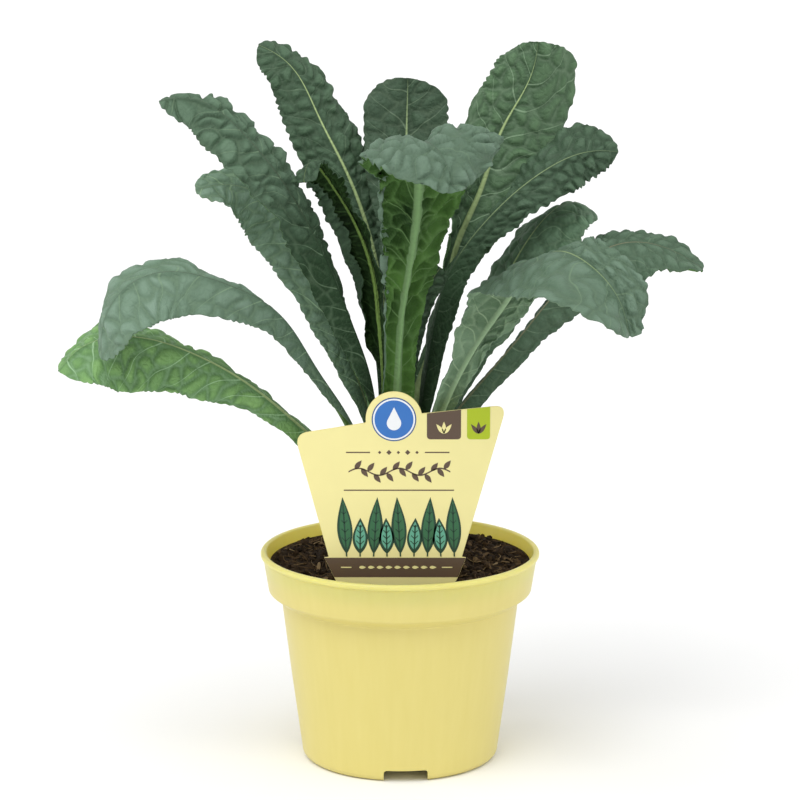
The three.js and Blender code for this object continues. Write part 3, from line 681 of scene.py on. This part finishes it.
def make_leaves():
    for i, leaf in enumerate(LEAVES):
        leaf_piece(f"leaf_{i + 1:02d}", leaf, 100 + 20 * i)
    for i, at in enumerate(HEART.angles):
        leaf = dict(
            at=at, z=HEART.height, length=HEART.length, reach=HEART.reach, lop=0, tip=1.2,
            half=[1.1, 1.3, 2.1, 2.4, 1.8], heading=[at, at], climb=[86, 84, 80],
            roll=[0, 0], fold=[30, 35], curl=[0, 20], row=HEART.length / 60,
            fresh=1, blister=0.6, cell=4, light=1.8, bloom=0, shade=0, veins=0.3, ribbed=0.5, rib="green",
        )
        leaf_piece(f"heart_leaf_{i + 1}", leaf, 900 + 20 * i)


# Pot
def arc(r, z, radius, a, b, steps):
    angles = np.radians(np.linspace(a, b, steps + 1))
    return [(r + radius * math.cos(x), z + radius * math.sin(x)) for x in angles]


def wall_radius(z):
    low, high = POT.foot_rounding, POT.wall_top
    return float(
        POT.wall_foot_radius
        + (z - low) * (POT.wall_top_radius - POT.wall_foot_radius) / (high - low)
    )


def collar_lean():
    """How much wider the collar gets for each millimetre of height."""
    wider = POT.collar_top_radius - POT.collar_foot_radius
    return wider / (POT.height - POT.collar_foot)


def inner_outline(inset, z):
    """The outline of the room inside the pot, from the floor up to the level z."""
    t = POT.thickness + inset
    floor = POT.floor_top + inset
    top = POT.collar_foot_radius + collar_lean() * (z - POT.collar_foot)
    return [
        (wall_radius(floor) - t, floor),
        (POT.wall_top_radius - t, POT.wall_top + POT.thickness / 2),
        (POT.collar_foot_radius - t, POT.collar_foot + POT.edge_rounding),
        (top - t, z),
    ]


def between(low, high, sides):
    """The faces between two rings of point numbers. A ring may be a single point."""
    corners = [
        (low[k % len(low)], low[m % len(low)], high[m % len(high)], high[k % len(high)])
        for k, m in zip(range(sides), [*range(1, sides), 0])
    ]
    faces = [list(dict.fromkeys(face)) for face in corners]
    return [face for face in faces if len(face) > 2]


def turned(outline, sides):
    """Points and faces of an outline of (radius, height) pairs turned round the Z axis."""
    points, faces, rings = [], [], []
    for r, z in outline:
        if r < 1e-6:
            rings.append([len(points)])
            points.append((0, 0, z))
            continue
        rings.append(list(range(len(points), len(points) + sides)))
        angles = 2 * math.pi * np.arange(sides) / sides
        points += [(r * math.cos(a), r * math.sin(a), z) for a in angles]
    for low, high in zip(rings, rings[1:]):
        faces += between(low, high, sides)
    return points, faces


def angles_of(openings):
    """The angles at which openings stand round the pot."""
    return [openings.first_angle + 360 * i / openings.count for i in range(openings.count)]


def notch_cutter(angle):
    """An upright prism with two cut corners that goes through the foot ring."""
    w, h, c = NOTCH.width / 2, NOTCH.height, NOTCH.corner
    outline = [(-w, -1), (w, -1), (w, h - c), (w - 0.3 * c, h - 0.3 * c), (w - c, h)]
    outline += [(-x, z) for x, z in reversed(outline[2:])]
    a = math.radians(angle)
    points = []
    for r in (POT.foot_ring_inner - 1, POT.rim_radius):
        for x, z in outline:
            points.append((r * math.cos(a) - x * math.sin(a), r * math.sin(a) + x * math.cos(a), z))
    n = len(outline)
    faces = [tuple(range(n)), tuple(range(2 * n - 1, n - 1, -1))]
    faces += [(k, k + n, (k + 1) % n + n, (k + 1) % n) for k in range(n)]
    return placed("notch_cutter", mesh_of("notch_cutter", points, faces))


def drain_cutter(angle):
    a, r, high = math.radians(angle), DRAIN.radius, 12
    points, faces = turned([(0, 0), (r, 0), (r, high), (0, high)], 32)
    moved = np.array(points, float) + [DRAIN.circle * math.cos(a), DRAIN.circle * math.sin(a), -2]
    return placed("drain_cutter", mesh_of("drain_cutter", moved, faces))


def cut(piece, cutters):
    """Cuts the cutters out of the piece and removes them."""
    for tool in cutters:
        mesh = bmesh.new()
        mesh.from_mesh(tool.data)
        bmesh.ops.recalc_face_normals(mesh, faces=mesh.faces)
        mesh.to_mesh(tool.data)
        mesh.free()
        modifier = piece.modifiers.new("cut", "BOOLEAN")
        modifier.operation = "DIFFERENCE"
        modifier.object = tool
        modifier.solver = "EXACT"
    bpy.context.view_layer.update()
    graph = bpy.context.evaluated_depsgraph_get()
    made = bpy.data.meshes.new_from_object(piece.evaluated_get(graph))
    piece.modifiers.clear()
    piece.data = made
    for tool in cutters:
        bpy.data.objects.remove(tool)


def make_pot():
    bead, draft, edge = POT.bead_radius, POT.draft, POT.edge_rounding
    foot = POT.foot_rounding
    top_inner = POT.collar_top_radius - POT.thickness
    outline = [
        (0, 0),
        (POT.pad_radius, 0),
        (POT.pad_radius + draft, POT.foot_rise),
        (POT.foot_ring_inner, POT.foot_rise),
        (POT.foot_ring_inner + draft, 0),
        *arc(wall_radius(0) - foot, foot, foot, 270, 360, 10),
        (wall_radius(35), 35),
        (POT.wall_top_radius, POT.wall_top - 0.5),
        *arc(POT.wall_top_radius + 1.2, POT.wall_top - 0.4, 1.2, 180, 105, 5),
        *arc(POT.collar_foot_radius - edge, POT.collar_foot, edge, -58, 0, 6),
        (POT.collar_top_radius, POT.height - 2.1 * bead),
        *arc(POT.rim_radius - bead, POT.height - bead, bead, -50, 90, 12),
        *arc(top_inner + 0.8, POT.height - 0.8, 0.8, 90, 180, 5),
        *reversed(inner_outline(0, POT.height - 4)),
        (0, POT.floor_top),
    ]
    points, faces = turned(outline, POT.sides)
    pot = mesh_piece("moulded_pot", points, faces, pot_material(), "pot")
    cut(pot, [*map(notch_cutter, angles_of(NOTCH)), *map(drain_cutter, angles_of(DRAIN))])
    sharpen(pot, 32)


def sharpen(piece, degrees):
    """Marks edges that turn by more than an angle as sharp."""
    mesh = bmesh.new()
    mesh.from_mesh(piece.data)
    for face in mesh.faces:
        face.smooth = True
    for edge in mesh.edges:
        edge.smooth = edge.calc_face_angle(0) < math.radians(degrees)
    mesh.to_mesh(piece.data)
    mesh.free()


# Soil
def soil_height(x, y, edge):
    r = np.hypot(x, y)
    lumps = np.sin(x * 0.43 + 1) * np.cos(y * 0.37) + np.sin(x * 0.19 - y * 0.23 + 2)
    back = smooth((y - SOIL.rise_from) / (SOIL.rise_to - SOIL.rise_from))
    level = SOIL.edge_level + SOIL.rise * back + SOIL.dome * (1 - (r / edge) ** 2)
    return level + SOIL.lump * lumps * np.minimum(1, (edge - r) / 4)


def soil_body(edge):
    """The closed body of the soil, with a crumbly top."""
    rings, sides = 90, 260
    outline = [(0, POT.floor_top + SOIL.gap), *inner_outline(SOIL.gap, SOIL.edge_level)[:3]]
    points, faces = turned(outline, sides)
    last = range(len(points) - sides, len(points))
    angles = 2 * math.pi * np.arange(sides) / sides
    for k in range(rings + 1):
        r = edge * (1 - k / (rings + 1))
        x, y = r * np.cos(angles), r * np.sin(angles)
        rough = 0.9 * noise(x / 3.1, y / 3.1, 41) + 0.6 * noise(x / 1.2, y / 1.2, 42)
        z = soil_height(x, y, edge) + rough * min(1, (edge - r) / 2)
        wider = 1 + collar_lean() * (z - SOIL.edge_level) / edge
        points += list(zip(x * wider, y * wider, z))
        ring = range(len(points) - sides, len(points))
        faces += between(last, ring, sides)
        last = ring
    points.append((0, 0, float(soil_height(0, 0, edge))))
    faces += between(last, [len(points) - 1], sides)
    x, y, _ = np.array(points).T
    return points, faces, list(0.25 + 0.2 * noise(x / 1.7, y / 1.7, 43))


BALL = (1 + math.sqrt(5)) / 2


def crumb_shape():
    """The points and faces of an icosahedron of radius 1."""
    points = []
    for a in (-1, 1):
        for b in (-BALL, BALL):
            points += [(0, a, b), (a, b, 0), (b, 0, a)]
    points = np.array(points, float)
    points /= np.linalg.norm(points[0])
    faces = []
    for i in range(12):
        for j in range(i + 1, 12):
            for k in range(j + 1, 12):
                a, b, c = points[i], points[j], points[k]
                close = max(np.linalg.norm(a - b), np.linalg.norm(b - c), np.linalg.norm(c - a))
                if close < 1.1:
                    outward = np.dot(np.cross(b - a, c - a), a) > 0
                    faces.append((i, j, k) if outward else (i, k, j))
    return points, faces


def turn(rng):
    """A random turn in space as a matrix."""
    q = rng.normal(size=4)
    w, x, y, z = q / np.linalg.norm(q)
    return np.array(
        [
            [1 - 2 * (y * y + z * z), 2 * (x * y - w * z), 2 * (x * z + w * y)],
            [2 * (x * y + w * z), 1 - 2 * (x * x + z * z), 2 * (y * z - w * x)],
            [2 * (x * z - w * y), 2 * (y * z + w * x), 1 - 2 * (x * x + y * y)],
        ]
    )


def free_spot(rng, edge, room):
    """A random place on the soil, clear of the stem and the card."""
    while True:
        r, a = (edge - room) * math.sqrt(rng.uniform()), rng.uniform(0, 2 * math.pi)
        x, y = r * math.cos(a), r * math.sin(a)
        by_stem = math.hypot(x - STEM.x, y - STEM.y) < STEM.radius + room
        by_card = abs(y - CARD.y) < room + CARD.thickness and abs(x) < 28
        if not by_stem and not by_card:
            return x, y


def scatter_crumbs(rng, edge, points, faces, tones):
    shape, shape_faces = crumb_shape()
    for _ in range(CRUMBS):
        size = 0.5 + 1.3 * rng.uniform() ** 3
        x, y = free_spot(rng, edge, size)
        stretch = size * rng.uniform(0.55, 1.25, 3)
        own = (shape * rng.uniform(0.75, 1.2, (12, 1)) * stretch) @ turn(rng).T
        z = float(soil_height(x, y, edge)) + size * rng.uniform(-0.1, 0.7)
        first = len(points)
        points += [tuple(p) for p in own + [x, y, z]]
        faces += [tuple(first + k for k in face) for face in shape_faces]
        tones += [float(np.clip(rng.normal(0.33, 0.16), 0, 0.8))] * 12


def scatter_fibres(rng, edge, points, faces, tones):
    """Thin bent fibres and chips that lie on the soil."""
    for k in range(FIBRES):
        chip = k % 3 == 0
        length = rng.uniform(2.5, 6) if chip else rng.uniform(4, 12)
        width = rng.uniform(0.5, 1.1) if chip else rng.uniform(0.12, 0.28)
        x, y = free_spot(rng, edge, length / 2 + 1)
        a, bend, tilt = rng.uniform(0, 2 * math.pi), rng.uniform(-0.5, 0.5), rng.uniform(-0.3, 0.3)
        tone = float(np.clip(rng.normal(0.78, 0.14), 0.4, 1))
        first, steps = len(points), 5
        for i in range(steps + 1):
            u = i / steps - 0.5
            heading = a + bend * u * 3
            px, py = x + length * u * math.cos(heading), y + length * u * math.sin(heading)
            pz = float(soil_height(px, py, edge)) + 0.9 + length * u * tilt * 0.5 + rng.uniform(0, 0.2)
            thin = width * (1 - 1.6 * u * u)
            nx, ny = -math.sin(heading) * thin, math.cos(heading) * thin
            deep = thin * (0.35 if chip else 0.9)
            points += [(px + nx, py + ny, pz), (px, py, pz + deep)]
            points += [(px - nx, py - ny, pz), (px, py, pz - deep)]
            tones += [tone] * 4
        for i in range(steps):
            for m in range(4):
                b, n = first + 4 * i, (m + 1) % 4
                faces.append((b + m, b + m + 4, b + n + 4, b + n))
        faces.append((first, first + 1, first + 2, first + 3))
        end = first + 4 * steps
        faces.append((end + 3, end + 2, end + 1, end))


def make_soil():
    edge = inner_outline(SOIL.gap, SOIL.edge_level)[-1][0]
    points, faces, tones = soil_body(edge)
    rng = np.random.default_rng(7)
    scatter_crumbs(rng, edge, points, faces, tones)
    scatter_fibres(rng, edge, points, faces, tones)
    mesh_piece("crumbly_soil", points, faces, soil_material(), "soil", {"tone": tones}, False)


# Stem
def make_stem():
    """The stem, with the scars of fallen leaves round it."""
    rows, sides = 80, 64
    r = STEM.radius
    heights = np.linspace(STEM.foot, STEM.top, rows + 1)
    points, faces = [], []
    for z in heights:
        u = np.clip((z - (STEM.top - 8)) / 8, 0, 1)
        radius = r * math.sqrt(max(0.0, 1 - 0.86 * u**2))
        angles = 2 * math.pi * np.arange(sides) / sides
        scars = np.sin(3 * angles + z * 0.5) * np.cos(z * 0.9) + noise(angles * 3, z / 4 + 0 * angles, 61)
        ring = radius - 0.45 + 0.25 * scars
        points += [
            (STEM.x + q * math.cos(a), STEM.y + q * math.sin(a), z) for a, q in zip(angles, ring)
        ]
    for i in range(0, rows * sides, sides):
        faces += between(range(i, i + sides), range(i + sides, i + 2 * sides), sides)
    faces.append(tuple(reversed(range(sides))))
    faces.append(tuple(rows * sides + k for k in range(sides)))
    mesh_piece("scarred_stem", points, faces, stem_material(), "stem")


# Card
def plate(name, outline, back, front, material, bevel=0.0, node=None):
    """A flat plate with an outline of (x, z) points, between two depths, with its edges rounded."""
    mesh = bmesh.new()
    corners = [mesh.verts.new((x * MM, front * MM, z * MM)) for x, z in outline]
    face = mesh.faces.new(corners)
    thick = bmesh.ops.extrude_face_region(mesh, geom=[face])
    moved = [v for v in thick["geom"] if isinstance(v, bmesh.types.BMVert)]
    bmesh.ops.translate(mesh, verts=moved, vec=(0, (back - front) * MM, 0))
    bmesh.ops.recalc_face_normals(mesh, faces=mesh.faces)
    if bevel:
        rims = [e for e in mesh.edges if e.calc_face_angle(0) > 1.2]
        bmesh.ops.bevel(mesh, geom=rims, offset=bevel * MM, segments=2, affect="EDGES")
    bmesh.ops.triangulate(mesh, faces=[f for f in mesh.faces if len(f.verts) > 4])
    data = bpy.data.meshes.new(name)
    mesh.to_mesh(data)
    mesh.free()
    part_piece(name, data, material, node)


def towards(a, b, distance):
    a, b = np.array(a, float), np.array(b, float)
    return a + (b - a) * distance / np.linalg.norm(b - a)


def rounded(before, corner, after, distance, steps=8):
    """A corner rounded with a curve that starts a distance before it and ends a distance after it."""
    start, end, middle = towards(corner, before, distance), towards(corner, after, distance), np.array(corner)
    u = np.linspace(0, 1, steps + 1)[:, None]
    curve = start * (1 - u) ** 2 + 2 * middle * u * (1 - u) + end * u**2
    return [tuple(p) for p in curve]


def card_outline():
    tab, r = CARD.tab, CARD.tab_radius
    return [
        CARD.left_tip,
        CARD.right_tip,
        CARD.right_stake,
        CARD.right_soil,
        CARD.right_waist,
        CARD.right_neck,
        *rounded(CARD.right_neck, CARD.right_top, tab, CARD.rounding),
        *arc(*tab, r, CARD.tab_from, CARD.tab_to, 40),
        *rounded(tab, CARD.left_top, CARD.left_neck, CARD.rounding),
        CARD.left_neck,
        CARD.left_waist,
        CARD.left_soil,
        CARD.left_stake,
    ]


def circle(x, z, r, steps=48):
    return arc(x, z, r, 0, 360 - 360 / steps, steps - 1)


def leaf_outline(x, z, length, width, degrees, steps=14):
    """A pointed leaf that starts at (x, z) and points in a direction."""
    u = np.linspace(0, 1, steps + 1)
    w = 0.5 * width * np.sin(math.pi * u**0.8)
    right = list(zip(length * u, -w))
    left = list(zip(length * u[1:-1], w[1:-1]))[::-1]
    c, s = math.cos(math.radians(degrees)), math.sin(math.radians(degrees))
    return [(x + c * p - s * q, z + s * p + c * q) for p, q in right + left]


def band(x0, z0, x1, z1, width):
    """A straight line of ink."""
    direction = np.array([x1 - x0, z1 - z0], float)
    across = np.array([-direction[1], direction[0]]) / np.linalg.norm(direction) * width / 2
    a, b = np.array([x0, z0], float), np.array([x1, z1], float)
    return [tuple(a - across), tuple(b - across), tuple(b + across), tuple(a + across)]


INKS = {
    "card": (0.87, 0.79, 0.35),
    "blue": (0.035, 0.17, 0.52),
    "blue_dark": (0.02, 0.08, 0.26),
    "white": (0.86, 0.88, 0.9),
    "brown": (0.108, 0.070, 0.046),
    "lime": (0.42, 0.53, 0.012),
    "green": (0.012, 0.055, 0.028),
    "leaf_green": (0.03, 0.14, 0.055),
    "mint": (0.12, 0.40, 0.27),
}


class Print:
    """Thin raised ink on the card. Each layer stands a little further out than the one before."""

    def __init__(self):
        self.face = CARD.y - CARD.thickness / 2
        self.inks = {tone: print_material(f"ink_{tone}", color) for tone, color in INKS.items()}
        self.count = {}

    def add(self, kind, outline, tone, layer=1):
        number = self.count[kind] = self.count.get(kind, 0) + 1
        front = self.face - INK * layer
        plate(f"print_{kind}_{number}", outline, self.face + INK / 2, front, self.inks[tone])


def print_badge(ink):
    x, z = CARD.tab
    for layer, (r, tone) in enumerate(((9.3, "blue_dark"), (8.8, "white"), (8.1, "blue")), 1):
        ink.add("badge", circle(x, z, r), tone, layer)
    drop = arc(x, z - 1.6, 3, -205, 25, 23)
    ink.add("badge", [*drop, (x, z + 5.2)], "white", 4)


def print_tabs(ink):
    for left, right, top, tone, pale in (
        (11.2, 25.4, 159.3, "brown", "card"),
        (27.9, 37.5, 160.6, "lime", "brown"),
    ):
        low = 146.7
        outline = [
            *rounded((left, top), (left, low), (right, low), 1.6, 6),
            *rounded((left, low), (right, low), (right, top), 1.6, 6),
            (right, top),
            (left, top - 0.11 * (right - left)),
        ]
        ink.add("tab", outline, tone, 1)
        middle = (left + right) / 2
        for lean in (-38, 0, 38):
            ink.add("tab_leaf", leaf_outline(middle, low + 2.4, 5.2, 1.7, 90 + lean), pale, 2)


def print_rules(ink):
    rules = [(-22.5, 141.1, -12.5, 141.1), (10.4, 141.1, 20.6, 141.1), (-23.5, 124.9, 22.6, 124.9)]
    for x0, z0, x1, z1 in rules:
        ink.add("rule", band(x0, z0, x1, z1, 0.5), "brown")
    for k in range(5):
        x, z, r = -8.5 + 3.9 * k, 141.1, 1.1 if k % 2 else 0.7
        ink.add("dot", [(x - r, z), (x, z - r), (x + r, z), (x, z + r)], "brown")


def print_garland(ink):
    """A waving stalk with small leaves on both sides."""
    x0, x1, z, height = -21.5, 21.0, 132.8, 1.5
    u = np.linspace(0, 1, 49)
    xs, zs = x0 + (x1 - x0) * u, z + height * np.sin(2 * math.pi * 2.5 * u)
    lower = list(zip(xs, zs - 0.3))
    upper = list(zip(xs, zs + 0.3))[::-1]
    ink.add("garland", lower + upper, "brown")
    for k in range(1, 16):
        i = 3 * k
        lean = 52 if k % 2 else -52
        ink.add("garland_leaf", leaf_outline(xs[i], zs[i], 4.6, 2.1, lean), "brown")


def print_leaf_row(ink):
    """A row of separate upright leaves, each with a pale midrib and veins."""
    count, low = 9, 97.5
    for k in range(count):
        x = -22.4 + 45.2 * k / (count - 1)
        length = 20 + 4.5 * math.cos(math.pi * k)
        width, lean = 6.4, 90 + 4 * math.cos(1.7 * k)
        ink.add("row_leaf", leaf_outline(x, low, length, width, lean, 24), "green")
        inner = leaf_outline(x, low + 1.8, length - 3.4, width - 1.9, lean, 24)
        ink.add("row_leaf", inner, "mint" if k % 2 else "leaf_green", 2)
        c, s = math.cos(math.radians(lean)), math.sin(math.radians(lean))
        rib = band(x, low - 1.2, x + c * (length - 3), low + s * (length - 3), 0.6)
        ink.add("row_rib", rib, "green", 3)
        for m in range(1, 5):
            p = 0.16 * m * length + 1.5
            px, pz = x + c * p, low + s * p
            for side in (-1, 1):
                reach = 1.9 - 0.22 * m
                ink.add("row_vein", band(px, pz, px + side * reach, pz + reach, 0.35), "green", 3)


def print_band(ink):
    outline = [(-31.7, 95.75), (-27.6, 87.3), (24.3, 87.3), (27.7, 95.75)]
    ink.add("band", outline, "brown")
    z = 91.6
    for x0, x1 in ((-24.8, -20.4), (17.6, 22.0)):
        ink.add("band_dash", band(x0, z, x1, z, 0.45), "card", 2)
    for k in range(9):
        ink.add("band_leaf", leaf_outline(-17.2 + 3.7 * k, z, 2.9, 1.3, 0), "card", 2)


def make_card():
    ink = Print()
    back, front = CARD.y + CARD.thickness / 2, CARD.y - CARD.thickness / 2
    plate("plant_card", card_outline(), back, front, ink.inks["card"], bevel=0.15, node="card")
    for draw in (print_badge, print_tabs, print_rules, print_garland, print_leaf_row, print_band):
        draw(ink)


# Stage, light and camera
def make_stage():
    shader = Shader("floor", roughness=0.85, specular=0.1)
    shader.color((0.92, 0.92, 0.92))
    side = 12000
    corners = [(-side, -side, 0), (side, -side, 0), (side, side, 0), (-side, side, 0)]
    floor = placed("floor", mesh_of("floor", corners, [(0, 1, 2, 3)]))
    floor.data.materials.append(shader.material)

    world = bpy.data.worlds.new("studio")
    world.use_nodes = True
    background = world.node_tree.nodes["Background"]
    background.inputs["Color"].default_value = (1, 1, 1, 1)
    background.inputs["Strength"].default_value = SKY
    bpy.context.scene.world = world


def sun(name, strength, azimuth, height, spread):
    """A broad soft light from a compass direction and a height above the horizon, in degrees."""
    light = bpy.data.lights.new(name, "SUN")
    light.energy = strength
    light.angle = math.radians(spread)
    placed(name, light).rotation_euler = (math.radians(90 - height), 0, math.radians(azimuth))


def panel(name, power, azimuth, distance, width, height):
    """An upright panel of light that faces the pot's axis, in watts and metres."""
    light = bpy.data.lights.new(name, "AREA")
    light.shape, light.energy = "RECTANGLE", power
    light.size, light.size_y = width, height
    lamp = placed(name, light)
    a = math.radians(azimuth)
    lamp.location = (distance * math.sin(a), -distance * math.cos(a), height / 2)
    lamp.rotation_euler = (math.radians(90), 0, a)


def make_camera():
    camera = bpy.data.cameras.new("camera")
    camera.lens = CAMERA.lens
    camera.sensor_width = 36
    camera.clip_start, camera.clip_end = 0.01, 100
    made = placed("camera", camera)
    pitch, distance = CAMERA.pitch, CAMERA.distance * MM
    made.location = (0, -distance * math.cos(pitch), CAMERA.aim * MM + distance * math.sin(pitch))
    made.rotation_euler = (math.pi / 2 - pitch, 0, 0)
    bpy.context.scene.camera = made


make_leaves()
make_pot()
make_soil()
make_stem()
make_card()
make_stage()
sun("key_light", strength=1.42, azimuth=-35, height=58, spread=40)
sun("fill_light", strength=0.65, azimuth=60, height=40, spread=70)
panel("side_light", power=1.4, azimuth=-96, distance=1.2, width=0.16, height=0.8)
make_camera()
bpy.context.scene.view_settings.view_transform = "Standard"
